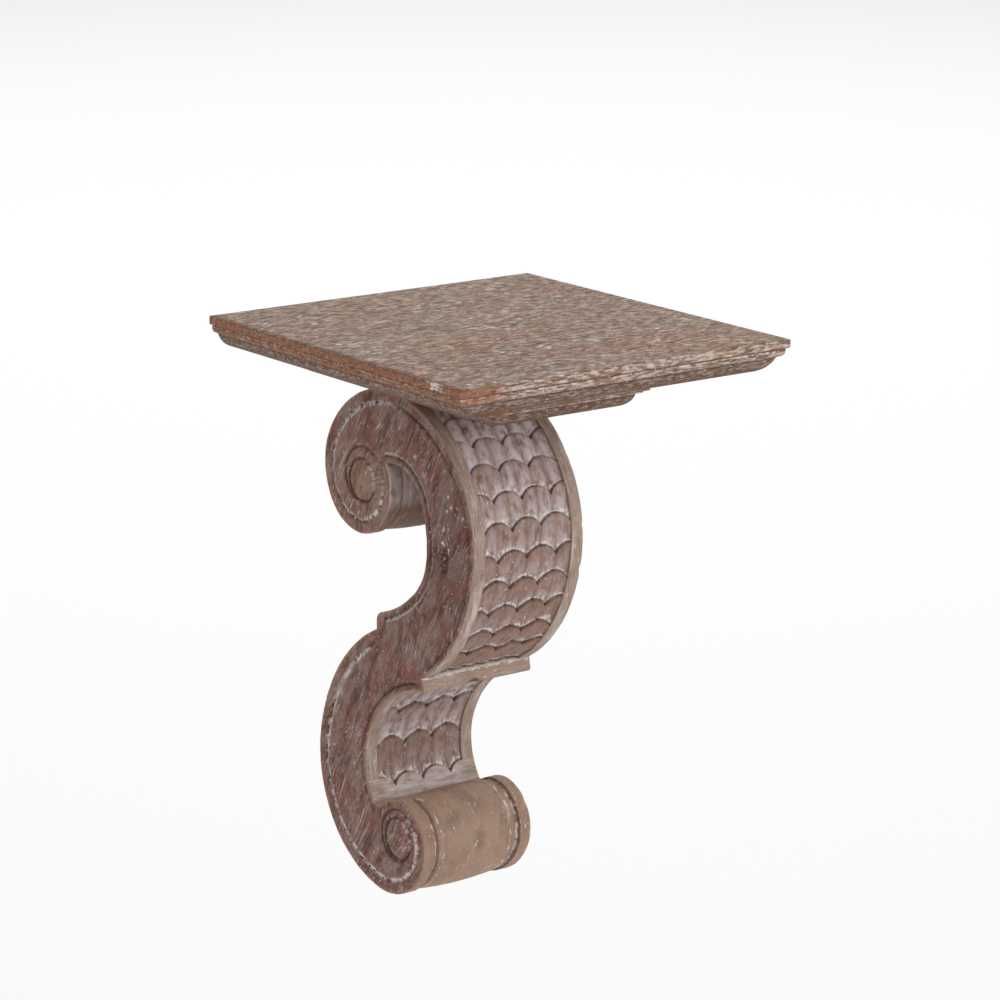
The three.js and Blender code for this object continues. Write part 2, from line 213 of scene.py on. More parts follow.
# The border lines: the outer stretch, the wound one, the eye, the first inset and the lime along the first,
# with the lime on the wound stretch and in the wind, and over how many points it changes
BORDERS = (
    ("bulge", "volute", VOLUTE_EYE, ARRIS_INSET, 0.12),
    ("lower", "roll", ROLL_EYE, BORDER_INSET, 1),
)
WOUND_LIME = (0.88, 0.4)
LIME_BLEND = 25
# The lines beside an inner edge: the stretch, how many insets before its end each stops, and its lime
INNER_LINES = (("limb", 1, 0.7), ("hollow", 2, 0.15))

# A dark knot on the limb's left side: out from the wall and up, its half sizes and mesh step in mm, and
# the darkness and reach of the wood round it
KNOT = {"at": (160.5, -129), "across": 6.2, "along": 15, "step": 0.9, "shade": 0.4, "reach": 3.5}
# How far the flat sides are rubbed light at the volute, and over what distance in mm
RUBBED = {"most": 0.46, "reach": 42}
# Where the board's left top edge is chipped, as shares of the depth, the same for an edge that isn't
# chipped, and the lime that shows in the chip
CHIPPED = (0.885, 0.935)
UNCHIPPED = (2, 2)
CHIPPED_LIME = 1.18

# The volute's barrel: the arc on which it begins and, in mm before the path's end, where it stops
VOLUTE_BARREL_ARC = 2
VOLUTE_BARREL_END = 6
# The film of lime in the volute's mouth: how much, from how far before the barrel's end and over what length
MOUTH_FILM = {"most": 0.6, "from": 34, "fading": 10}
# Both barrels, in mm: how far the middle stands proud, the blend at each end, and the quirk's distance
# from the cove
BARREL_MIDDLE_RISE = 0.8
BARREL_FADE = 3
QUIRK_INSET = 3.6
# The worn bite in the band's lower edge, in mm, and the dark stain round it
NOTCH = {"radius": 9, "bite": 3.5, "across": -4, "halo": 0.8, "stain": 0.8}

# The height at which noise over two coordinates is read, between the whole numbers where it is faint
NOISE_HEIGHT = 7.3
# What each point of the scroll's mesh carries for its finish, painted shade and painted light, from 0 to 1
MARKS = ("lime", "film", "dark", "tone", "worn")

# Lime, dark and warmth of a board's sawn back, and the dark on the mouldings' large round: stain with painted
# shade
BACK_MARKS = (0, 0.35, 0.4)
OVOLO_STAIN_AND_SHADE = 0.75
# How far the ledge above a bead stands below the fascia, in mm
QUIRK_FALL = 0.7

# How finely the carving is meshed, in mm unless they are counts
SAMPLES_PER_SCALE = 20
FINE_STEP = 1.8
PLAIN_STEP = 3.6
SIDE_GRID = 3.6
LINE_STEP = 1.5
NEAR_LINE_STEP = 0.45
EDGE_CLEAR = 0.9
SAME_PLACE = 1e-3
BOARD_STEP = 5
OUTLINE_STEP = 0.5
# Where the knot's own points end and the side's coarse ones begin, in sizes of the knot
KNOT_CLEAR = (1.7, 1.8)
# How far the steep wall beside the sunk field leans each way, and the waves of plain surfaces, in mm
FIELD_WALL = 0.3
PLAIN_WAVE = 0.12
# Points closer than this in metres are joined, and edges that turn less than this in degrees look smooth
WELD = 2e-6
SMOOTH_BELOW = 38

# The scroll is cut from a plank whose grain leans forward from the upright, in degrees
GRAIN_LEAN = 28
# Dry limed wood: how it bends light, and how little it shines
WOOD_IOR = 1.5
WOOD_SHEEN = 0.15
# The noise between which a coat's patches come up, and how far the noise of each coat and of its patches
# lies from the last one's
PATCH_RISE = (0.42, 0.62)
COAT_SHIFT = 41.3
PATCH_SHIFT = 17.9

# The stage, in metres: how far the floor lies below the bracket and reaches, the soft boxes (name, place,
# target, side and watts), the light all round, and the camera with its lens in mm
FLOOR = {"drop": 0.9, "reach": 20}
LIGHTS = (
    ("key_light", (1.2, -2.7, 0.95), (0, -0.15, -0.18), 1.6, 31),
    ("floor_wash", (4.7, 6, 2), (4.7, 6, -1), 10, 100),
)
STUDIO_LIGHT = 0.82
CAMERA = {
    "place": (-1.6544, -2.3025, 0.5983), "right": (0.79292, -0.60924, 0.01035),
    "up": (0.14212, 0.20143, 0.96914), "lens": 135.6, "sensor": 36, "sees": 100,
}

class SidePath:
    """Tangent arcs in the side view, in mm out from the wall and up."""

    def __init__(self, start, heading, arcs):
        point = np.array(start, float)
        self.pieces = []
        self.length = 0.0
        for radius, degrees in arcs:
            side = math.copysign(1, radius)
            turn = side * math.radians(degrees)
            leftward = np.array((-math.sin(heading), math.cos(heading)))
            centre = point + radius * leftward
            first = heading - side * math.pi / 2
            self.pieces.append((self.length, centre, abs(radius), side, first))
            self.length += abs(radius * turn)
            heading += turn
            point = centre + abs(radius) * np.array((math.cos(first + turn), math.sin(first + turn)))
        self.heading = heading
        self.end = point

    def at(self, along):
        """The points at distances along the path and the normals to the right of the travel."""
        along = np.asarray(along, float)
        points = np.empty(along.shape + (2,))
        rights = np.empty(along.shape + (2,))
        starts = [piece[0] for piece in self.pieces]
        index = np.clip(np.searchsorted(starts, along, side="right") - 1, 0, len(starts) - 1)
        for k, (start, centre, size, side, first) in enumerate(self.pieces):
            here = index == k
            angle = first + side * (along[here] - start) / size
            radial = np.stack((np.cos(angle), np.sin(angle)), -1)
            points[here] = centre + size * radial
            rights[here] = side * radial
        return points, rights


class Straight:
    """A straight run in the side view, with the same calls as a path of arcs."""

    def __init__(self, start, end):
        self.start = np.array(start, float)
        self.end = np.array(end, float)
        self.length = float(np.linalg.norm(self.end - self.start))
        self.way = (self.end - self.start) / self.length

    def at(self, along):
        """The points at distances along the run and the normals to the right of the travel."""
        along = np.asarray(along, float)
        points = self.start + along[..., None] * self.way
        rights = np.broadcast_to(np.array((self.way[1], -self.way[0])), points.shape)
        return points, rights


def turned_round(path, arcs):
    """The same stretch travelled the other way."""
    back = [(-radius, degrees) for radius, degrees in reversed(arcs)]
    return SidePath(path.end, path.heading + math.pi, back)


def scroll_paths(band_top):
    """The stretches of the outline in order, from the top front edge of the waist band."""
    bulge = SidePath(band_top, math.radians(BULGE_HEADING), BULGE_ARCS)
    volute = SidePath(bulge.end, bulge.heading, VOLUTE_ARCS)
    limb = SidePath(volute.end, math.radians(LIMB_HEADING), LIMB_ARCS)
    step = SidePath(limb.end, limb.heading, STEP_ARCS)
    drop = Straight(step.end, step.end - np.array((0, STEP_HEIGHT)))
    lower = SidePath(drop.end, math.radians(LOWER_HEADING), LOWER_ARCS)
    roll = SidePath(lower.end, lower.heading, ROLL_ARCS)
    band_foot = np.array(band_top) + np.array((BAND_LEAN, -BAND_HEIGHT))
    hollow = turned_round(SidePath(band_foot, math.radians(HOLLOW_HEADING), HOLLOW_ARCS), HOLLOW_ARCS)
    band = Straight(band_foot, band_top)
    return {
        "bulge": bulge, "volute": volute, "limb": limb, "step": step, "drop": drop, "lower": lower,
        "roll": roll, "hollow": hollow, "band": band,
    }


def close_points(path):
    """Points close together along a path."""
    return path.at(np.arange(0, path.length, OUTLINE_STEP))[0]


def placed_scroll_paths(seat):
    """The crown rises into the seat by its cut and the lower back touches the wall."""
    trial = scroll_paths((0, 0))
    crown = max(close_points(trial[name])[:, 1].max() for name in ("bulge", "volute"))
    back = close_points(trial["lower"])[:, 0].min()
    return scroll_paths((-back, seat + CROWN_CUT - crown))


def noise_at(points, scale):
    """Smooth noise from -1 to 1 at (n, 3) points, with features of about `scale`."""
    return np.array([noise.noise(Vector(point)) for point in np.asarray(points, float) / scale])


def grid_noise(along, across, scale):
    """The same noise on two grids of equal shape, with the feature size in each."""
    height = np.full(along.shape, NOISE_HEIGHT)
    stack = np.stack((along / scale[0], across / scale[1], height), -1)
    return noise_at(stack.reshape(-1, 3), 1).reshape(along.shape)


def chance(*keys):
    """A steady random share from 0 to 1 for whole-number keys."""
    mixed = sum(key * prime for key, prime in zip(keys, (127.1, 311.7, 74.7)))
    share = np.sin(mixed) * 43758.5453
    return share - np.floor(share)


class Carving:
    """Lays stretches of carved surface side by side round the outline."""

    def __init__(self, sizes):
        self.half = sizes.width / MM / 2
        self.field = self.half - sizes.fillet / MM
        self.scale_width = 2 * self.field / sizes.scales_across
        self.sizes = sizes
        parts = sizes.scales_across * SAMPLES_PER_SCALE
        field = np.linspace(-self.field, self.field, parts + 1)
        field[0] += FIELD_WALL
        field[-1] -= FIELD_WALL
        fillet = self.field + np.array((FIELD_WALL, 1.2, 3.2, 5.6, 7.8))
        self.flat = np.concatenate((-fillet[::-1], field, fillet))
        self.angles = np.radians((0, 30, 60, 90))
        self.rows = []

    def columns(self, along, seed):
        """Places across for each row, and how far the worn arris falls away there."""
        count = len(along)
        seeds = np.full(count, seed)
        wear = grid_noise(along, seeds, scale=(9, 1)) + 0.6 * grid_noise(along, seeds, scale=(3, 1))
        chip = np.clip(wear - 0.55, 0, 1) * 4
        arris = (self.sizes.arris / MM * (1.25 + 0.5 * wear) + chip)[:, None]
        turn = arris * (np.sin(self.angles) - 1)
        outer = self.half + turn
        fall = arris * (1 - np.cos(self.angles))
        flat = np.broadcast_to(self.flat, (count, len(self.flat)))
        across = np.concatenate((-outer[:, ::-1], flat, outer), 1)
        none = np.zeros_like(flat)
        return across, np.concatenate((fall[:, ::-1], none, fall), 1)

    def lay(self, path, along, relief, seed):
        """Adds rows: `relief` turns distances along and across into distance, depth and marks."""
        across, fall = self.columns(along, seed)
        spot, depth, marks = relief(along[:, None] + 0 * across, across)
        points, rights = path.at(spot)
        side = points - rights * (depth + fall)[..., None]
        place = np.stack((across, -side[..., 0], side[..., 1]), -1)
        grain = marks.get("grain", np.stack((across, spot), -1))
        offset = np.full(across.shape + (1,), seed * 37.0)
        row = {name: marks.get(name, 0) + 0 * across for name in MARKS}
        row["worn"] = row["worn"] + np.clip(fall / 1.2, 0, 1)
        self.rows.append({"place": place, "grain": np.concatenate((grain, offset), -1), **row})


def even_steps(start, end, step):
    """Evenly spaced distances from start to end, about a step apart."""
    return np.linspace(start, end, max(2, int(round((end - start) / step)) + 1))


def plain_relief(tone):
    """A hand-cleaned surface with slight waves."""
    def relief(along, across):
        fine = 0.4 * grid_noise(along, across, scale=(5, 9))
        waves = PLAIN_WAVE * (grid_noise(along, across, scale=(22, 30)) + fine)
        return along, waves + PLAIN_WAVE, {"tone": tone}
    return relief


class ScaleRows:
    """Rows of scales with round heads that point up the path, each with lobes and gouge marks."""

    SHARES = np.array((0, 0.02, 0.06, 0.12, 0.2, 0.3, 0.4, 0.5, 0.6, 0.7, 0.8, 0.88, 0.94, 0.98, 1))

    def __init__(self, carving, rows, seed):
        self.rows = rows
        self.seed = seed
        self.field = carving.field
        self.width = carving.scale_width
        rise = carving.sizes.arch_rise / MM
        self.radius = ((self.width / 2) ** 2 + rise ** 2) / (2 * rise)
        self.top = carving.sizes.scale_top / MM
        self.foot = carving.sizes.scale_foot / MM
        self.reed = carving.sizes.reed / MM
        self.arches = int((rows["end"] - rows["first"] - ARCH_STEP) // rows["pitch"]) + 1
        self.lines = [(row, share) for row in range(self.arches + 1) for share in self.SHARES]

    def scale_at(self, row, across):
        """Distance off the middle of the scale above a place, and the scale's number in its row."""
        phase = np.clip(across, -self.field, self.field) / self.width + (0 if row % 2 == 0 else 0.5)
        number = np.floor(phase)
        return (phase - number - 0.5) * self.width, number

    def arch(self, row, across):
        """How far along the path the round heads of a row reach."""
        off, number = self.scale_at(row, across)
        drift = SCALE["drift"] * (chance(row, number, self.seed) - 0.5)
        lean = 0.05 * off * (chance(row, number, self.seed + 5) - 0.5)
        spring = self.rows["first"] + row * self.rows["pitch"] + drift + lean
        return spring + np.sqrt(self.radius ** 2 - off ** 2) - self.radius

    def relief(self, _along, across):
        """One mesh row for each line of each scale row."""
        spot, depth, lime, film, dark, tone, worn = (np.zeros_like(across) for _ in range(7))
        grain = np.stack((across, across), -1)
        inside = np.abs(across) < self.field
        for k, (row, share) in enumerate(self.lines):
            here = across[k]
            low = self.rows["start"] if row == 0 else self.arch(row - 1, here) + ARCH_STEP / 2
            high = self.rows["end"] if row == self.arches else self.arch(row, here) - ARCH_STEP / 2
            spot[k] = low + (high - low) * share
            plain = row == 0 and self.rows["plain_first"]
            tone[k] = np.where(inside[k] & (not plain), 0.5, 1)
            grain[k, :, 1] = spot[k]
            if plain:
                grain[k] = grain[k, :, ::-1]
                from_fillet = self.field - np.abs(here)
                film[k] = STRIP_FILM["most"] * np.clip(from_fillet / STRIP_FILM["fading"], 0, 1)
                continue
            off, number = self.scale_at(row, here)
            lobe = np.abs(np.sin(2 * math.pi * off / self.width))
            body = self.top + (self.foot - self.top) * (1 - share) ** 0.8
            lip = SCALE["lip"] * max(0, (share - 0.88) / 0.12) ** 2
            tilt = SCALE["tilt"] * (chance(row, number, self.seed + 9) - 0.5) * (off / self.width + 0.5)
            groove = self.reed * (1 - lobe) ** 1.3 * (1 - 0.5 * share)
            beside = 1 - 0.5 * np.exp(-((self.field - np.abs(here)) / SCALE["fading"]) ** 2)
            depth[k] = np.where(inside[k], (body + lip + tilt + groove) * beside, 0)
            foot = share * self.rows["pitch"]
            height = row / self.arches
            ragged = noise_at(np.stack((here, 0 * here + 9 * row, 0 * here + self.seed), -1), 5)
            spread = SCALE["spread"][0] + SCALE["spread"][1] * np.clip(ragged, -0.5, 1)
            caught = (1 - 0.3 * height) * np.exp(-((foot - SCALE["caught"] - ragged) / spread) ** 2)
            lime[k] = inside[k] * np.maximum(caught, (0.12 + 0.2 * height) * (1 - share) ** 2)
            patchy = 0.75 + 0.5 * chance(row, number, self.seed + 2)
            # Film heavier on the upper rows and kept in their grooves: partly lime that settled there, partly
            # painted light that lifts the rows lying in the board's shadow
            settled_and_lit = 0.06 + 0.94 * height ** 2 + 0.3 * (1 - share) ** 1.5
            held_and_lit = 0.35 + 0.3 * height + (0.65 - 0.3 * height) * lobe
            film[k] = inside[k] * patchy * settled_and_lit * held_and_lit
            # Painted shade in the step above each row's heads and along each head's edge, partly a real dark
            # line of stain, and painted shade in the groove between the lobes
            ends = 0.75 * max(0, 1 - foot / 0.8) + 0.4 * max(0, (share - 0.96) / 0.04)
            dark[k] = inside[k] * (ends + 0.3 * (1 - lobe) ** 3)
            worn[k] = inside[k] * (1 - lobe) ** 1.2 * (0.3 + 0.7 * chance(row, number, self.seed + 4))
            # Painted shade in the crease where the first row meets the waist band
            if row == 0 and share < 0.03:
                dark[k] = 1
        gouge = 0.14 * grid_noise(spot, across, scale=(10, 1.9))
        gouge = gouge + 0.35 * grid_noise(spot, across, scale=(9, 6))
        # Painted shade along the steep wall beside the sunk field
        wall = np.abs(np.abs(across) - self.field) < 2 * FIELD_WALL
        carved = depth > 0
        dark = np.maximum(dark, np.where(wall & carved, 0.45, 0))
        uncarved = 0.1 * grid_noise(spot, across, scale=(18, 25)) + 0.1
        depth = depth + np.where(carved, gouge, uncarved)
        marks = {"tone": tone, "lime": lime, "film": film, "dark": dark, "worn": worn, "grain": grain}
        return spot, np.maximum(depth, 0), marks


def barrel_relief(carving, start, end, film=0.0):
    """A full barrel between two coves, inside the plain rim at each end."""
    sizes = carving.sizes
    rim = carving.half - sizes.rim / MM
    cove = sizes.cove / MM
    shoulder = rim - cove

    def relief(along, across):
        reach = np.abs(across)
        swell = BARREL_MIDDLE_RISE - sizes.barrel_fall / MM * np.clip(reach / shoulder, 0, 1) ** 2
        middle = shoulder + cove / 2
        bowl = np.clip(1 - ((reach - middle) / (cove / 2)) ** 2, 0, 1) ** 0.5
        fall = sizes.barrel_fall / MM - BARREL_MIDDLE_RISE
        blend = np.clip((reach - shoulder) / cove, 0, 1)
        cut = fall * (1 - blend) + (sizes.cove_depth / MM - fall / 2) * bowl
        from_quirk = reach - shoulder + QUIRK_INSET
        quirk = 0.45 * np.exp(-(from_quirk / 0.8) ** 2)
        depth = np.where(reach < shoulder, -swell, np.where(reach < rim, cut, 0)) + quirk
        worked = np.clip((along - start) / BARREL_FADE, 0, 1) * np.clip((end - along) / BARREL_FADE, 0, 1)
        waves = 0.16 * grid_noise(along, across, scale=(7, 12))
        waves = waves + 0.1 * grid_noise(along, across, scale=(2, 3)) + 0.12
        lime = worked * (0.75 * bowl * (reach > middle) + 0.5 * np.exp(-(from_quirk / 1.1) ** 2))
        # Painted shade in the cove where it meets the wall of the rim
        dark = worked * np.where(reach < rim, np.clip((reach - rim + 1.4) / 1.4, 0, 1), 0)
        rubbed = 0.55 + 0.3 * grid_noise(along, across, scale=(25, 25))
        marks = {"tone": 1 - 0.1 * worked, "lime": lime, "dark": dark, "worn": np.clip(rubbed, 0.3, 1)}
        marks["film"] = film * np.clip((along - end + MOUTH_FILM["from"]) / MOUTH_FILM["fading"], 0, 1)
        return along, depth * worked + waves, marks
    return relief


def band_relief(along, across):
    """The waist band, planed across, with lime caught along its top edge."""
    waves = 0.1 * grid_noise(along, across, scale=(2, 14)) + 0.1
    high = np.clip((along - BAND_HEIGHT + 1.6) / 1.2, 0, 1)
    return along, waves, {"tone": 1, "lime": 0.9 * high, "grain": np.stack((along, across), -1), "worn": 0.25}


def carve_outline(carving, paths):
    """Lays every stretch in order round the scroll."""
    upper = ScaleRows(carving, UPPER_ROWS, 3)
    carving.lay(paths["bulge"], np.arange(len(upper.lines), dtype=float), upper.relief, 1)
    volute = paths["volute"]
    barrel_start = volute.pieces[VOLUTE_BARREL_ARC][0]
    barrel_end = volute.length - VOLUTE_BARREL_END
    carving.lay(volute, even_steps(0, barrel_start - FINE_STEP, PLAIN_STEP), plain_relief(0.7), 2)
    barrel = barrel_relief(carving, barrel_start, barrel_end, MOUTH_FILM["most"])
    carving.lay(volute, even_steps(barrel_start, volute.length, FINE_STEP), barrel, 2)
    carving.lay(paths["limb"], even_steps(0, paths["limb"].length, PLAIN_STEP), plain_relief(0.6), 3)
    carving.lay(paths["step"], even_steps(FINE_STEP, paths["step"].length, FINE_STEP), plain_relief(0.7), 4)
    carving.lay(paths["drop"], even_steps(FINE_STEP, STEP_HEIGHT, FINE_STEP), plain_relief(0.7), 5)
    lower = paths["lower"]
    carving.lay(lower, even_steps(0, lower.length - FINE_STEP, PLAIN_STEP), plain_relief(0.5), 6)
    roll = paths["roll"]
    carving.lay(roll, even_steps(0, roll.length, FINE_STEP), barrel_relief(carving, 0, roll.length), 7)
    rows = ScaleRows(carving, LOWER_ROWS, 8)
    hollow = paths["hollow"]
    carving.lay(hollow, np.arange(len(rows.lines), dtype=float), rows.relief, 8)
    clear = even_steps(LOWER_ROWS["end"] + ROWS_CLEAR, hollow.length - BAND_ARRIS, FINE_STEP)
    carving.lay(hollow, clear, plain_relief(0.8), 9)
    band = paths["band"]
    carving.lay(band, even_steps(BAND_ARRIS, band.length, FINE_STEP / 1.5), band_relief, 10)


def notched(place, paths):
    """Pushes the wood inside a ball back to the ball's surface: the worn bite in the band's lower edge."""
    foot = paths["band"].start
    radius = NOTCH["radius"]
    reach = radius - NOTCH["bite"]
    centre = np.array((NOTCH["across"], -(foot[0] + reach), foot[1] - NOTCH["bite"]))
    away = place - centre
    distance = np.linalg.norm(away, axis=-1, keepdims=True)
    bitten = np.where(distance < radius, centre + away / np.maximum(distance, 1e-6) * radius, place)
    stain = np.clip((radius + NOTCH["halo"] - distance[..., 0]) / NOTCH["halo"], 0, NOTCH["stain"])
    return bitten, stain


def inset_line(path, start, stop, first_inset, last_inset):
    """Places inside the outline, at an inset that may change along the way."""
    along = even_steps(start, stop, LINE_STEP)
    points, rights = path.at(along)
    inset = np.linspace(first_inset, last_inset, len(along))
    return points - rights * inset[:, None]


def wind_in(start, centre, eye):
    """Winds on from a place, anticlockwise, until it meets the eye's ring."""
    arm = start - centre
    reach = np.linalg.norm(arm)
    angle = math.atan2(arm[1], arm[0])
    steps = int(eye["turns"] * 2 * math.pi * eye["radius"] / LINE_STEP)
    share = np.linspace(0, 1, steps)[1:]
    radius = reach + (eye["radius"] - reach) * share ** WIND_BEND
    turn = angle + share * eye["turns"] * 2 * math.pi
    return centre + radius[:, None] * np.stack((np.cos(turn), np.sin(turn)), -1)


def ring_line(centre, radius):
    """A full circle from its right, anticlockwise."""
    steps = int(2 * math.pi * radius / LINE_STEP)
    turn = np.linspace(0, 2 * math.pi, steps)
    return centre + radius * np.stack((np.cos(turn), np.sin(turn)), -1)


def side_lines(paths):
    """The lines on a side face, each with the lime along it: round each volute to its eye, up the limb
    and beside the hollow."""
    lines = []
    blend = np.full(LIME_BLEND, 1 / LIME_BLEND)
    for first, second, eye, inset, limed in BORDERS:
        outer, inner = paths[first], paths[second]
        start, centre = inner.pieces[eye["arc"]][:2]
        run = inner.pieces[eye["arc"] + 1][0] - start
        centre = centre + np.array(eye["off"])
        border = inset_line(outer, BORDER_INSET, outer.length - 1, inset, BORDER_INSET)
        turned = inset_line(inner, 0, start + run * eye["share"], BORDER_INSET, BORDER_INSET)
        wound = wind_in(turned[-1], centre, eye)
        lime = np.repeat((limed, *WOUND_LIME), (len(border), len(turned), len(wound)))
        lines.append((np.concatenate((border, turned, wound)), np.convolve(lime, blend, "same")))
        ring = ring_line(centre, eye["radius"])
        bearing = np.arctan2(ring[:, 1] - centre[1], ring[:, 0] - centre[0])
        lines.append((ring, np.clip(0.25 + 0.45 * np.cos(bearing - 0.5), 0, 1)))
    for name, clear, limed in INNER_LINES:
        path = paths[name]
        line = inset_line(path, 1, path.length - clear * INNER_INSET, INNER_INSET, INNER_INSET)
        lines.append((line, np.full(len(line), limed)))
    return lines


def within(points, loop):
    """Which of the points lie inside a closed loop."""
    result = np.zeros(len(points), bool)
    nexts = np.roll(loop, -1, 0)
    for (x1, y1), (x2, y2) in zip(loop, nexts):
        if y1 == y2:
            continue
        crosses = (y1 > points[:, 1]) != (y2 > points[:, 1])
        result ^= crosses & (points[:, 0] < (x2 - x1) * (points[:, 1] - y1) / (y2 - y1) + x1)
    return result


def distance_to(points, line):
    """The distance of each point from a run of short segments, its side of it and the nearest segment."""
    best = np.full(len(points), np.inf)
    side = np.zeros(len(points))
    nearest = np.zeros(len(points), int)
    for k, (start, end) in enumerate(zip(line[:-1], line[1:])):
        way = end - start
        size = way @ way
        if size == 0:
            continue
        arm = points - start
        share = np.clip(arm @ way / size, 0, 1)
        gap = np.linalg.norm(arm - share[:, None] * way, axis=1)
        nearer = gap < best
        best = np.where(nearer, gap, best)
        side = np.where(nearer, np.sign(way[0] * arm[:, 1] - way[1] * arm[:, 0]), side)
        nearest = np.where(nearer, k, nearest)
    return best, side, nearest


def thinned(points, gap):
    """One point for each cell of a grid of that pitch."""
    cells = np.round(points / gap).astype(np.int64)
    _, first = np.unique(cells, axis=0, return_index=True)
    return points[np.sort(first)]


def knot_gap(points):
    """How far each point is from the knot's middle, where 1 is its edge."""
    lean = math.radians(GRAIN_LEAN) / 3
    arm = points - np.array(KNOT["at"])
    along = arm[:, 1] * math.cos(lean) + arm[:, 0] * math.sin(lean)
    across = arm[:, 0] * math.cos(lean) - arm[:, 1] * math.sin(lean)
    return np.hypot(across / KNOT["across"], along / KNOT["along"])


def side_points(loop, lines, half_width):
    """Where the flat side is sampled: close together at the lines and the knot, and coarse elsewhere."""
    offsets = half_width * np.array((-2, -1.3, -0.75, -0.35, 0, 0.35, 0.75, 1.3, 2))
    near = []
    for line, _ in lines:
        way = np.gradient(line, axis=0)
        way /= np.linalg.norm(way, axis=1, keepdims=True)
        aside = np.stack((-way[:, 1], way[:, 0]), -1)
        near.append((line[:, None] + offsets[None, :, None] * aside[:, None]).reshape(-1, 2))
    near = thinned(np.concatenate(near), NEAR_LINE_STEP)
    low, high = loop.min(0), loop.max(0)
    across, up = np.meshgrid(np.arange(low[0], high[0], SIDE_GRID), np.arange(low[1], high[1], SIDE_GRID))
    across[1::2] += SIDE_GRID / 2
    far = np.stack((across.ravel(), up.ravel()), -1)
    gap = np.min([distance_to(far, line)[0] for line, _ in lines], 0)
    far = far[(gap > 2.4 * half_width) & (knot_gap(far) > KNOT_CLEAR[1])]
    reach = np.arange(-2 * KNOT["along"], 2 * KNOT["along"], KNOT["step"])
    knot = np.stack(np.meshgrid(reach, reach), -1).reshape(-1, 2) + np.array(KNOT["at"])
    cloud = np.concatenate((near, far, knot[knot_gap(knot) < KNOT_CLEAR[0]]))
    cloud = cloud[within(cloud, loop)]
    edge = distance_to(cloud, np.concatenate((loop, loop[:1])))[0]
    return cloud[edge > EDGE_CLEAR]


def side_relief(points, lines, sizes, facing):
    """Depth and marks of a flat side: the lines, slight waves and the knot."""
    half = sizes.line_width / MM / 2
    found = [distance_to(points, line) for line, _ in lines]
    gap = np.min([gap for gap, _, _ in found], 0)
    index = np.argmin([gap for gap, _, _ in found], 0)
    side = np.choose(index, [side for _, side, _ in found])
    limed = np.choose(index, [lime[nearest] for (_, lime), (_, _, nearest) in zip(lines, found)])
    cut = np.exp(-((gap / (0.62 * half)) ** 2))
    seeded = np.column_stack((points, np.full(len(points), 50.0 * facing)))
    waves = 0.3 * noise_at(seeded, 26) + 0.14 * noise_at(seeded, 7) + 0.2
    crest = 0.3 * np.exp(-((gap - 1.9 * half) / half) ** 2)
    depth = np.clip(cut * sizes.line_depth / MM + waves - crest, 0, None)
    lime = limed * np.exp(-((gap - 0.6 * half * side) / ((0.8 + 0.9 * limed) * half)) ** 2)
    # Painted shade on one wall of each incised line, less where lime lies
    dark = (1 - 0.4 * limed) * np.exp(-((gap + 0.35 * half * side) / (0.5 * half)) ** 2)
    if facing < 0:
        from_knot = knot_gap(points)
        ragged = from_knot + 0.35 * noise_at(seeded, 2.5)
        knot = np.clip(2.2 - 2 * ragged, 0, 1)
        depth = depth + 0.7 * knot
        shade = KNOT["shade"] * np.exp(-((from_knot / KNOT["reach"]) ** 2))
        dark = np.maximum(dark, np.maximum(knot, shade))
        above = ragged - 0.06 * (points[:, 1] - KNOT["at"][1])
        bits = 0.9 * (np.abs(above - 0.1) < 0.3) * (noise_at(seeded, 2.6) > 0.18)
        lime = np.maximum(lime, bits)
        dark = np.where(bits > 0, 0, dark)
    return depth, lime, dark


def side_face(carving, loop, lines, facing, rubbed):
    """Fills one flat side inside the loop of its worn arris, rubbed lighter round one place. Gives what
    each point carries, and the faces."""
    half_width = carving.sizes.line_width / MM / 2
    cloud = np.concatenate((loop, side_points(loop, lines, half_width)))
    count = len(loop)
    edges = [(k, (k + 1) % count) for k in range(count)]
    flat, _, faces, *_ = delaunay_2d_cdt([Vector(point) for point in cloud], edges, [], 1, 1e-6)
    points = np.array([tuple(point) for point in flat])
    depth, lime, dark = side_relief(points, lines, carving.sizes, facing)
    rim = distance_to(points, np.concatenate((loop, loop[:1])))[0]
    depth = depth * np.clip(rim / 1.5, 0, 1)
    lean = math.radians(GRAIN_LEAN)
    along = points[:, 1] * math.cos(lean) + points[:, 0] * math.sin(lean)
    across = points[:, 0] * math.cos(lean) - points[:, 1] * math.sin(lean)
    across = across + 9 * noise_at(np.column_stack((points, np.full(len(points), 20.0 * facing))), 70)
    away = np.linalg.norm(points - rubbed, axis=1)
    light = RUBBED["most"] * np.exp(-((away / RUBBED["reach"]) ** 2))
    return {
        "place": np.column_stack((facing * (carving.half - depth), -points[:, 0], points[:, 1])),
        "grain": np.column_stack((across, along, np.full(len(points), 400.0 * facing))),
        "lime": lime, "film": np.zeros(len(points)), "dark": dark, "tone": np.zeros(len(points)),
        "worn": np.maximum(light, 0.6 * np.clip(1 - rim / 1.2, 0, 1)),
    }, faces


def strip_faces(rows, columns):
    """Quads of a closed band of rows, in the order that faces them out."""
    faces = []
    for i in range(rows):
        near, far = i * columns, (i + 1) % rows * columns
        faces += [(near + j, near + j + 1, far + j + 1, far + j) for j in range(columns - 1)]
    return faces


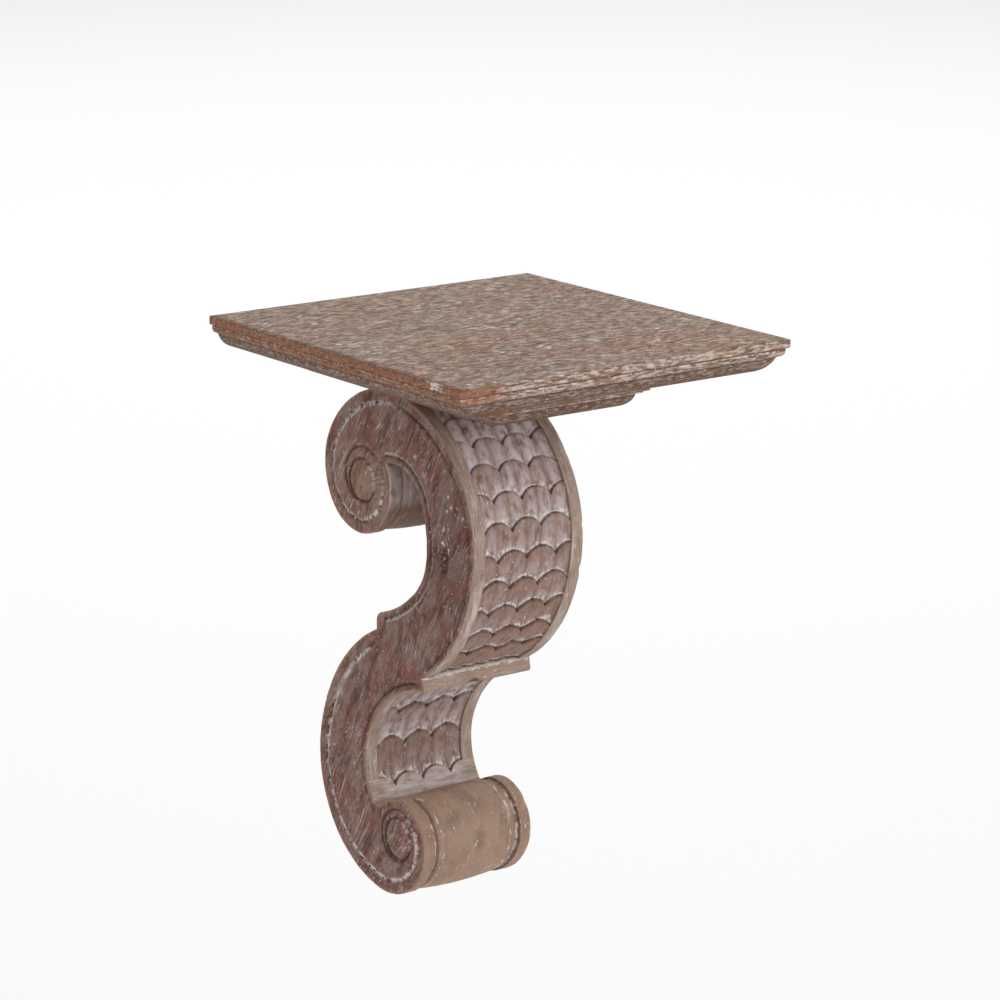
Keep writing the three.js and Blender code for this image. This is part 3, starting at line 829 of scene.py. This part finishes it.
def welded_object(name, place, faces, marks):
    """A mesh object from points in mm with meeting points joined. Each face's corners carry the grain
    and the marks, so that two surfaces that meet at an edge keep their own."""
    mesh = bpy.data.meshes.new(name)
    mesh.from_pydata((place * MM).tolist(), [], [tuple(face) for face in faces])
    corners = np.empty(len(mesh.loops), np.int32)
    mesh.loops.foreach_get("vertex_index", corners)
    for mark, values in marks.items():
        kind, field = ("FLOAT_VECTOR", "vector") if values.ndim == 2 else ("FLOAT", "value")
        layer = mesh.attributes.new(mark, kind, "CORNER")
        layer.data.foreach_set(field, values[corners].astype(np.float32).ravel())
    shape = bmesh.new()
    shape.from_mesh(mesh)
    bmesh.ops.remove_doubles(shape, verts=shape.verts, dist=WELD)
    bmesh.ops.dissolve_degenerate(shape, edges=shape.edges, dist=WELD / 2)
    bmesh.ops.recalc_face_normals(shape, faces=shape.faces)
    shape.to_mesh(mesh)
    shape.free()
    mesh.polygons.foreach_set("use_smooth", np.ones(len(mesh.polygons), bool))
    mesh.set_sharp_from_angle(angle=math.radians(SMOOTH_BELOW))
    piece = bpy.data.objects.new(name, mesh)
    bpy.context.scene.collection.objects.link(piece)
    return piece


def scroll_mesh(sizes):
    """The carved S-scroll: a carved band round its outline and two flat sides with incised lines."""
    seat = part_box("scroll_bracket")[1][2] / MM
    paths = placed_scroll_paths(seat)
    carving = Carving(sizes)
    carve_outline(carving, paths)
    names = ("place", "grain") + MARKS
    band = {name: np.concatenate([row[name] for row in carving.rows]) for name in names}
    band["place"], stain = notched(band["place"], paths)
    band["dark"] = np.maximum(band["dark"], stain)
    band["place"][..., 2] = np.minimum(band["place"][..., 2], seat)
    count, columns = band["lime"].shape
    faces = strip_faces(count, columns)
    parts = [{name: values.reshape(count * columns, *values.shape[2:]) for name, values in band.items()}]
    lines = side_lines(paths)
    rubbed = paths["volute"].pieces[VOLUTE_EYE["arc"]][1]
    for facing, column in ((-1, 0), (1, -1)):
        edge = band["place"][:, column]
        loop = np.column_stack((-edge[:, 1], edge[:, 2]))
        keep = np.linalg.norm(loop - np.roll(loop, 1, 0), axis=1) > SAME_PLACE
        side, side_faces = side_face(carving, loop[keep], lines, facing, rubbed)
        start = sum(len(part["lime"]) for part in parts)
        faces += [tuple(start + corner for corner in face) for face in side_faces]
        parts.append(side)
    whole = {name: np.concatenate([part[name] for part in parts]) for name in names}
    return welded_object("carved_scroll", whole.pop("place"), faces, whole)


def moulding_profile(sizes):
    """Insets and drops in mm from the worn top edge to the underside, each with its lime, dark and warmth."""
    fascia, step, bead, bead_drop, ovolo, ovolo_inset, height, arris = (
        getattr(sizes, name) / MM
        for name in ("fascia", "step", "bead", "bead_drop", "ovolo", "ovolo_inset", "thickness", "arris")
    )
    quarter = math.pi / 2
    rows = []
    for turn in np.linspace(0, quarter, 5):
        inset, drop = arris * (1 - math.sin(turn)), arris * (1 - math.cos(turn))
        rows.append((inset, drop, 0.1, 0.35, 0.5 + turn / math.pi))
    for share in (0.35, 0.6, 0.85):
        rows.append((0, arris + (fascia - arris) * share, 0.1, 0, 1))
    # Dark from the fascia's foot through the quirk and along the ledge is painted shade
    rows.append((0.25, fascia, 0.1, 0.5, 0.8))
    rows.append((step * 0.5, fascia + QUIRK_FALL * 0.7, 0.5, 1, 0.3))
    ledge = fascia + QUIRK_FALL
    flat = bead_drop - bead - fascia - QUIRK_FALL
    rows.append((step, ledge, 0, 1, 0.3))
    rows.append((step, ledge + 0.24 * flat, 0.1, 0.9, 0.3))
    for share in (0.4, 0.8):
        rows.append((step - 0.1, ledge + flat * share, 0.75 - 0.6 * share, 0, 0.9))
    # Dark on the bead's underside, where it meets the large round, is painted shade
    for turn in np.linspace(0, quarter, 8):
        inset, drop = step + bead * (1 - math.cos(turn)), bead_drop - bead * (1 - math.sin(turn))
        low = max(0, turn / quarter - 0.6) / 0.4
        rows.append((inset, drop, 0.5 * low, low, 0.8))
    centre = height - ovolo
    first = math.asin((bead_drop + QUIRK_FALL - centre) / ovolo)
    for turn in np.linspace(first, quarter, 13):
        inset, drop = ovolo_inset - ovolo * math.cos(turn), centre + ovolo * math.sin(turn)
        near = 1 - (turn - first) / (quarter - first)
        # Dark at the large round's top is painted shade in the crease under the bead; lower down it is stain,
        # with painted shade growing towards its downward-facing foot
        dark = max(near ** 7, OVOLO_STAIN_AND_SHADE + 0.3 * (1 - near) ** 2)
        rows.append((inset, drop, 0.7 * near ** 3 * (1 - near ** 8), dark, 0.95 - 0.1 * near))
    return np.array(rows)


def ring_warmth(ring):
    """How warm and worn the moulding is round the board: most on the left and at the front's left corner."""
    front = np.clip(1.6 - 4 * (ring[:, 0] + 1), 0.35, 1)
    return np.where(ring[:, 0] <= -1, 1, np.where(ring[:, 1] >= 1, front, 0.55))


def worn_back(spot, edge, chipped):
    """How far in mm a board's edge is worn and chipped back, where `edge` is 1 at the arris."""
    wear = noise_at(spot + (0, 0, 9.0), 16) + 0.7 * noise_at(spot, 5)
    bite = np.clip(0.16 * edge * (wear + 0.4), 0, None) + np.clip(wear - 0.75, 0, 1) * 1.6 * edge
    return np.where(chipped, bite + 0.9 * np.clip(0.6 + wear, 0, 1), bite)


def moulded_board_mesh(name, sizes, top, chipped=UNCHIPPED):
    """A board with the moulding on its front and sides, flat behind, with slightly worn edges. Its ring
    and grid of places are shares of the half width and of the depth."""
    profile = moulding_profile(sizes)
    width, depth = sizes.width / MM, sizes.depth / MM
    steps = int(depth / BOARD_STEP)
    shares = np.linspace(0, 1, steps + 1)
    spread = np.linspace(-1, 1, steps + 1)
    ring = [(-1, share) for share in shares[:-1]] + [(side, 1) for side in spread[:-1]]
    ring += [(1, share) for share in shares[:0:-1]] + [(side, 0) for side in spread[:0:-1]]
    ring = np.array(ring)
    grid = np.array([(side, share) for share in shares for side in spread])
    warmth = ring_warmth(ring)
    chips = (ring[:, 0] == -1) & (ring[:, 1] > chipped[0]) & (ring[:, 1] < chipped[1])

    def at(inset, drop, spots):
        across = spots[:, 0] * (width / 2 - inset)
        return np.column_stack((across, -spots[:, 1] * (depth - inset), top - drop + 0 * across))

    rows = []
    marks = []
    for level, (inset, drop, lime, dark, warm) in enumerate(profile):
        spot = at(inset, drop, ring)
        chip = chips & (drop < sizes.fascia / MM)
        bite = worn_back(spot, max(0, 1 - drop / (sizes.arris / MM) / 2), chip)
        bite *= 0 < level < len(profile) - 1
        spot[:, 0] -= np.where(np.abs(ring[:, 0]) == 1, ring[:, 0] * bite, 0)
        spot[:, 1] += np.where(ring[:, 1] == 1, bite, 0)
        rows.append(spot)
        upper = drop < sizes.bead_drop / MM
        pale = lime + 0.8 * (1 - warmth) * upper * (dark < 0.5)
        worn = warm * (warmth if upper else 0.85 + 0.15 * warmth)
        shown = np.column_stack((np.where(chip, CHIPPED_LIME, pale), dark + 0 * warmth, worn))
        marks.append(np.where(ring[:, 1:] > 0, shown, BACK_MARKS))
    faces = []
    count = len(ring)
    for near in range(0, (len(profile) - 1) * count, count):
        far = near + count
        faces += [(near + k, near + (k + 1) % count, far + (k + 1) % count, far + k) for k in range(count)]
    for inset, drop in (profile[0, :2], profile[-1, :2]):
        start = sum(len(row) for row in rows)
        spot = at(inset, drop, grid)
        inner = (np.abs(grid[:, 0]) < 1) & (grid[:, 1] < 1) & (grid[:, 1] > 0)
        facing = 1 if drop < 1 else -1
        spot[:, 2] += np.where(inner, 0.12 * noise_at(spot, 40) - 0.12, 0) * facing
        rows.append(spot)
        edge = (grid[:, 0] == -1) * (drop < 1)
        marks.append(np.column_stack((0 * edge, 0.7 * edge, 0.6 * edge)))
        for near in range(start, start + steps * (steps + 1), steps + 1):
            far = near + steps + 1
            faces += [(near + j, near + j + 1, far + j + 1, far + j) for j in range(steps)]
    place = np.concatenate(rows)
    lime, dark, warm = np.concatenate(marks).T
    layers = {"grain": place[:, (1, 0, 2)], "lime": lime, "dark": dark, "warm": warm}
    return welded_object(name, place, faces, layers)


def add(tree, kind, inputs=None, **settings):
    """Adds one node with its settings, and fills or links its inputs."""
    node = tree.nodes.new(kind)
    for name, value in settings.items():
        setattr(node, name, value)
    for key, value in (inputs or {}).items():
        if isinstance(value, bpy.types.NodeSocket):
            tree.links.new(value, node.inputs[key])
        else:
            node.inputs[key].default_value = value
    return node


def new_material(name):
    """An empty material and its node tree."""
    material = bpy.data.materials.new(name)
    material.use_nodes = True
    material.node_tree.nodes.clear()
    return material, material.node_tree


class Coat(NamedTuple):
    """A stain or lime: its streaks in mm across, along and through the grain, the noise between which it
    comes up, its most, the marks it follows (each a name, and its values for none and all of the coat)
    and, where it lies in patches, their size in mm."""

    colour: tuple
    streak: tuple
    rise: tuple
    most: float
    marks: tuple = ()
    patch: float = 0


def lay_coats(tree, shade, coats):
    """Lays each coat over the colour so far."""
    grain = add(tree, "ShaderNodeAttribute", attribute_name="grain").outputs["Vector"]
    for number, coat in enumerate(coats):
        patterns = [(coat.streak, coat.rise)]
        if coat.patch:
            patterns.append(((coat.patch,) * 3, PATCH_RISE))
        limits = []
        for turn, (sizes, rise) in enumerate(patterns):
            shift = [COAT_SHIFT * number + PATCH_SHIFT * turn] * 3
            inputs = {0: grain, 1: [1 / size for size in sizes], 2: shift}
            spread = add(tree, "ShaderNodeVectorMath", inputs, operation="MULTIPLY_ADD")
            inputs = {"Vector": spread.outputs[0], "Scale": 1.0, "Detail": 2.5}
            limits.append((add(tree, "ShaderNodeTexNoise", inputs).outputs[0], *rise))
        for name, none, full in coat.marks:
            mark = add(tree, "ShaderNodeAttribute", attribute_name=name)
            limits.append((mark.outputs["Fac"], none, full))
        amount = coat.most
        for value, none, full in limits:
            share = add(tree, "ShaderNodeMapRange", {"Value": value, "From Min": none, "From Max": full})
            inputs = {0: share.outputs[0], 1: amount}
            amount = add(tree, "ShaderNodeMath", inputs, operation="MULTIPLY").outputs[0]
        inputs = {0: amount, 6: shade, 7: tuple(coat.colour)}
        shade = add(tree, "ShaderNodeMix", inputs, data_type="RGBA").outputs[2]
    return shade


def wood_shader(tree, shade, streak, smooth, rough, depth):
    """Matt wood in one colour or shade, with a roughness that varies with the pores and their relief, whose
    streaks are in mm and whose depth is in metres."""
    grain = add(tree, "ShaderNodeAttribute", attribute_name="grain").outputs["Vector"]
    inputs = {0: grain, 1: [1 / size for size in streak]}
    spread = add(tree, "ShaderNodeVectorMath", inputs, operation="MULTIPLY")
    pores = add(tree, "ShaderNodeTexNoise", {"Vector": spread.outputs[0], "Scale": 1.0, "Detail": 3.0})
    inputs = {"Value": pores.outputs[0], "From Min": 0.3, "From Max": 0.7, "To Min": smooth, "To Max": rough}
    gloss = add(tree, "ShaderNodeMapRange", inputs)
    bump = add(tree, "ShaderNodeBump", {"Height": pores.outputs[0], "Strength": 0.8, "Distance": depth})
    inputs = {
        "Base Color": shade, "Roughness": gloss.outputs[0], "IOR": WOOD_IOR,
        "Specular IOR Level": WOOD_SHEEN, "Normal": bump.outputs[0],
    }
    surface = add(tree, "ShaderNodeBsdfPrincipled", inputs)
    add(tree, "ShaderNodeOutputMaterial", {"Surface": surface.outputs[0]})


def limed_board_wood(colours):
    """Oak planks, planed and wire-brushed, stained grey-brown and limed: short white dashes lie in the
    open pores along the grain, broken by dark ones, and the moulded edges are warmer and worn. Oak's
    pores are 0.3 mm wide, too fine to show here, so the dashes stand for groups of them, 2 to 4 mm wide."""
    material, tree = new_material("limed_oak_brushed")
    brown, dark, warm, lime = colours.board_brown, colours.board_dark_and_shade, colours.edge_brown, colours.lime
    pale = colours.board_light
    shade = lay_coats(tree, tuple(brown), (
        Coat(warm, (34, 150, 30), (0.42, 0.66), 0.5),
        Coat(warm, (6, 14, 6), (0.1, 0.45), 1, (("warm", 0, 0.85),)),
        Coat(dark, (4, 90, 4), (0.54, 0.61), 0.45),
        Coat(pale, (3.8, 11, 2.2), (0.53, 0.57), 0.65, (("warm", 0.9, 0),)),
        Coat(dark, (3.9, 15, 2), (0.57, 0.61), 0.55),
        Coat(pale, (2, 7, 2.4), (0.5, 0.62), 0.5, (("warm", 1.2, 0),)),
        Coat(dark, (1.8, 6, 2.4), (0.54, 0.64), 0.45),
        Coat(lime, (3.8, 9, 2.2), (0.6, 0.65), 0.7, (("warm", 1.2, 0),), 28),
        # Painted shade in the quirk, under the bead and on the large round, with the large round's stain,
        # where the dark mark lies
        Coat(dark, (2.5, 4, 2.5), (0.2, 0.42), 0.95, (("dark", 0, 1),)),
        Coat(lime, (2.6, 7, 1.5), (0.46, 0.6), 0.8, (("lime", 0, 1),)),
        Coat(lime, (4, 4, 4), (0.42, 0.54), 0.85, (("lime", 1, 1.3),)),
        Coat(lime, (1.8, 2.2, 1.6), (0.67, 0.72), 0.85),
    ))
    wood_shader(tree, shade, (2.2, 14, 1), 0.5, 0.85, 0.4 * MM)
    return material


def carved_scroll_wood(colours):
    """Hardwood, carved by hand, stained red-brown on the flat sides and rubbed thin on the front, then
    limed: a lilac-grey film lies on the scales, white stays in cuts, feet of scales and scratches, and
    the high places are worn tan. Its pores and scratches, 0.2 mm wide, are drawn 1 to 2 mm wide so that
    they show."""
    material, tree = new_material("limed_hardwood_carved")
    side_brown, side_dark_and_shade, side_red = colours.side_brown, colours.side_dark_and_shade, colours.side_red
    scale, tan, film, lime = colours.scale_brown, colours.fillet_tan, colours.film, colours.lime
    side, front, carved = ("tone", 0.4, 0), ("tone", 0.5, 1), ("tone", 0.2, 0.5)
    shade = lay_coats(tree, tuple(side_brown), (
        Coat(side_red, (16, 34, 16), (0.42, 0.58), 0.85, (side,)),
        Coat(side_dark_and_shade, (6, 24, 6), (0.5, 0.64), 0.6, (side,)),
        Coat(scale, (9, 9, 9), (-1, 0), 1, (("tone", 0, 0.5),)),
        Coat(tan, (9, 9, 9), (-1, 0), 1, (front,)),
        Coat(colours.warm_tan, (5, 8, 5), (0.2, 0.55), 0.9, (("worn", 0, 0.9),)),
        Coat(colours.edge_brown, (10, 18, 10), (0.46, 0.7), 0.22, (carved,)),
        Coat(side_dark_and_shade, (14, 20, 14), (0.45, 0.7), 0.3, (carved, ("worn", 0.2, 0.5))),
        Coat(lime, (5, 26, 5), (0.5, 0.75), 0.4, (front, ("worn", 0.4, 0))),
        Coat(side_dark_and_shade, (3.5, 7, 3.5), (0.52, 0.66), 0.3, (side,)),
        Coat(side_dark_and_shade, (1.5, 9, 1.5), (0.53, 0.65), 0.4, (side,)),
        Coat(tan, (1.8, 5, 1.8), (0.55, 0.66), 0.6, (side,), 18),
        Coat(side_dark_and_shade, (1.3, 14, 1.3), (0.53, 0.68), 0.42, (carved, ("worn", 0.6, 0))),
        Coat(side_dark_and_shade, (2.4, 4, 2.4), (0.56, 0.66), 0.3, (carved, ("worn", 0.2, 0.5)), 14),
        Coat(film, (5, 9, 5), (0.28, 0.56), 0.95, (("film", 0, 1),)),
        Coat(lime, (1.3, 6, 1.3), (0.56, 0.62), 0.75, (("film", 0.4, 1),), 9),
        Coat(lime, (1.4, 6, 1.4), (0.64, 0.7), 0.7, (carved,), 16),
        Coat(lime, (1.2, 8, 1.2), (0.62, 0.69), 0.6, (side,), 18),
        Coat(lime, (0.9, 40, 0.9), (0.62, 0.67), 0.5, (side,), 30),
        Coat(lime, (1.4, 4.5, 1.4), (0.55, 0.63), 0.7, (("lime", 0.05, 0.35), carved)),
        # Painted shade in the cuts, steps, coves and along the field's wall, with the knot's dark grain and
        # the bite's stain, where the dark mark lies
        Coat(side_dark_and_shade, (4, 4, 4), (0.2, 0.42), 0.94, (("dark", 0, 1),)),
        Coat(lime, (3, 4, 3), (0.4, 0.54), 0.9, (("lime", 0.35, 0.95),)),
        Coat(lime, (1.5, 2.6, 1.5), (0.66, 0.71), 0.85, (), 22),
    ))
    wood_shader(tree, shade, (1.4, 8, 1.4), 0.42, 0.8, 0.3 * MM)
    return material


def floor_paint(colours):
    """Painted board, rolled: an even pale ground with no gloss."""
    material, tree = new_material("matt_paint_rolled")
    inputs = {"Base Color": tuple(colours.floor), "Roughness": 0.9}
    surface = add(tree, "ShaderNodeBsdfPrincipled", inputs)
    add(tree, "ShaderNodeOutputMaterial", {"Surface": surface.outputs[0]})
    return material


def finish_piece(piece, material, node):
    """Gives a piece its finish and its place on the body, and hides the CAD node that it stands for."""
    piece.data.materials.append(material)
    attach(piece, BODY)
    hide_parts(node)


class BRACKET_OT_shelf_board(bpy.types.Operator):
    """Make the limed shelf board with its moulding"""

    bl_idname = "bracket.shelf_board"
    bl_label = "Shelf board"

    def execute(self, context):
        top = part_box("shelf_board")[1][2] / MM
        piece = moulded_board_mesh("limed_shelf_board", context.scene.bracket_board, top, CHIPPED)
        material = limed_board_wood(context.scene.bracket_colours)
        finish_piece(piece, material, "shelf_board")
        return {"FINISHED"}


class BRACKET_OT_bearer_block(bpy.types.Operator):
    """Make the limed bearer block with its moulding"""

    bl_idname = "bracket.bearer_block"
    bl_label = "Bearer block"

    def execute(self, context):
        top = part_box("bearer_block")[1][2] / MM
        piece = moulded_board_mesh("limed_bearer_block", context.scene.bracket_block, top)
        material = limed_board_wood(context.scene.bracket_colours)
        finish_piece(piece, material, "bearer_block")
        return {"FINISHED"}


class BRACKET_OT_scroll(bpy.types.Operator):
    """Make the carved S-scroll"""

    bl_idname = "bracket.scroll"
    bl_label = "Carved scroll"

    def execute(self, context):
        piece = scroll_mesh(context.scene.bracket_scroll)
        material = carved_scroll_wood(context.scene.bracket_colours)
        finish_piece(piece, material, "scroll_bracket")
        return {"FINISHED"}


def add_floor(colours):
    """A pale floor well below the bracket, as it hangs on a wall."""
    level = CAD_BOX[0][2] - FLOOR["drop"]
    reach = FLOOR["reach"]
    corners = [(x * reach, y * reach, level) for x, y in ((-1, -1), (1, -1), (1, 1), (-1, 1))]
    mesh = bpy.data.meshes.new("floor")
    mesh.from_pydata(corners, [], [(0, 1, 2, 3)])
    mesh.materials.append(floor_paint(colours))
    floor = bpy.data.objects.new("floor", mesh)
    bpy.context.scene.collection.objects.link(floor)


def add_light(name, place, target, size, power):
    """A large soft box aimed at its target."""
    light = bpy.data.lights.new(name, "AREA")
    light.shape = "SQUARE"
    light.size = size
    light.energy = power
    holder = bpy.data.objects.new(name, light)
    holder.location = place
    holder.rotation_euler = (Vector(target) - Vector(place)).to_track_quat("-Z", "Y").to_euler()
    bpy.context.scene.collection.objects.link(holder)


def add_camera():
    """The photograph's own view, found by fitting the board's and the scroll's outlines."""
    data = bpy.data.cameras.new("camera")
    data.sensor_width = CAMERA["sensor"]
    data.lens = CAMERA["lens"]
    data.clip_end = CAMERA["sees"]
    camera = bpy.data.objects.new("camera", data)
    right, up = Vector(CAMERA["right"]), Vector(CAMERA["up"])
    turn = Matrix((right, up, right.cross(up))).transposed().to_4x4()
    camera.matrix_world = Matrix.Translation(CAMERA["place"]) @ turn
    bpy.context.scene.collection.objects.link(camera)
    bpy.context.scene.camera = camera


class BRACKET_OT_stage(bpy.types.Operator):
    """Make the floor, the soft studio light and the camera"""

    bl_idname = "bracket.stage"
    bl_label = "Stage"

    def execute(self, context):
        scene = context.scene
        add_floor(scene.bracket_colours)
        for light in LIGHTS:
            add_light(*light)
        world = bpy.data.worlds.new("studio")
        world.use_nodes = True
        background = world.node_tree.nodes["Background"]
        background.inputs["Color"].default_value = (1, 1, 1, 1)
        background.inputs["Strength"].default_value = STUDIO_LIGHT
        scene.world = world
        scene.view_settings.view_transform = "Standard"
        add_camera()
        return {"FINISHED"}


class BRACKET_PT_panel(bpy.types.Panel):
    """Lists the pieces of the bracket and its stage"""

    bl_idname = "BRACKET_PT_panel"
    bl_label = "Limed scroll bracket"
    bl_space_type = "VIEW_3D"
    bl_region_type = "UI"
    bl_category = "Bracket"

    def draw(self, context):
        for operator in OPERATORS:
            self.layout.operator(operator.bl_idname)
        for group in PROPERTIES:
            box = self.layout.box()
            settings = getattr(context.scene, group)
            for name in settings.bl_rna.properties.keys():
                if name not in ("rna_type", "name"):
                    box.prop(settings, name)


PROPERTIES = {
    "bracket_board": ShelfBoardSizes,
    "bracket_block": BearerBlockSizes,
    "bracket_scroll": ScrollSizes,
    "bracket_colours": FinishColours,
}
OPERATORS = (BRACKET_OT_shelf_board, BRACKET_OT_bearer_block, BRACKET_OT_scroll, BRACKET_OT_stage)


def register():
    """Adds the property groups, the operators and the panel."""
    for group in PROPERTIES.values():
        bpy.utils.register_class(group)
    for name, group in PROPERTIES.items():
        setattr(bpy.types.Scene, name, PointerProperty(type=group))
    for operator in OPERATORS:
        bpy.utils.register_class(operator)
    bpy.utils.register_class(BRACKET_PT_panel)


def unregister():
    """Takes them out again, last first."""
    bpy.utils.unregister_class(BRACKET_PT_panel)
    for operator in reversed(OPERATORS):
        bpy.utils.unregister_class(operator)
    for name, group in reversed(PROPERTIES.items()):
        delattr(bpy.types.Scene, name)
        bpy.utils.unregister_class(group)


def main():
    """Registers the add-on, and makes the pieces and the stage."""
    register()
    bpy.ops.bracket.shelf_board()
    bpy.ops.bracket.bearer_block()
    bpy.ops.bracket.scroll()
    bpy.ops.bracket.stage()


if __name__ == "__main__":
    main()
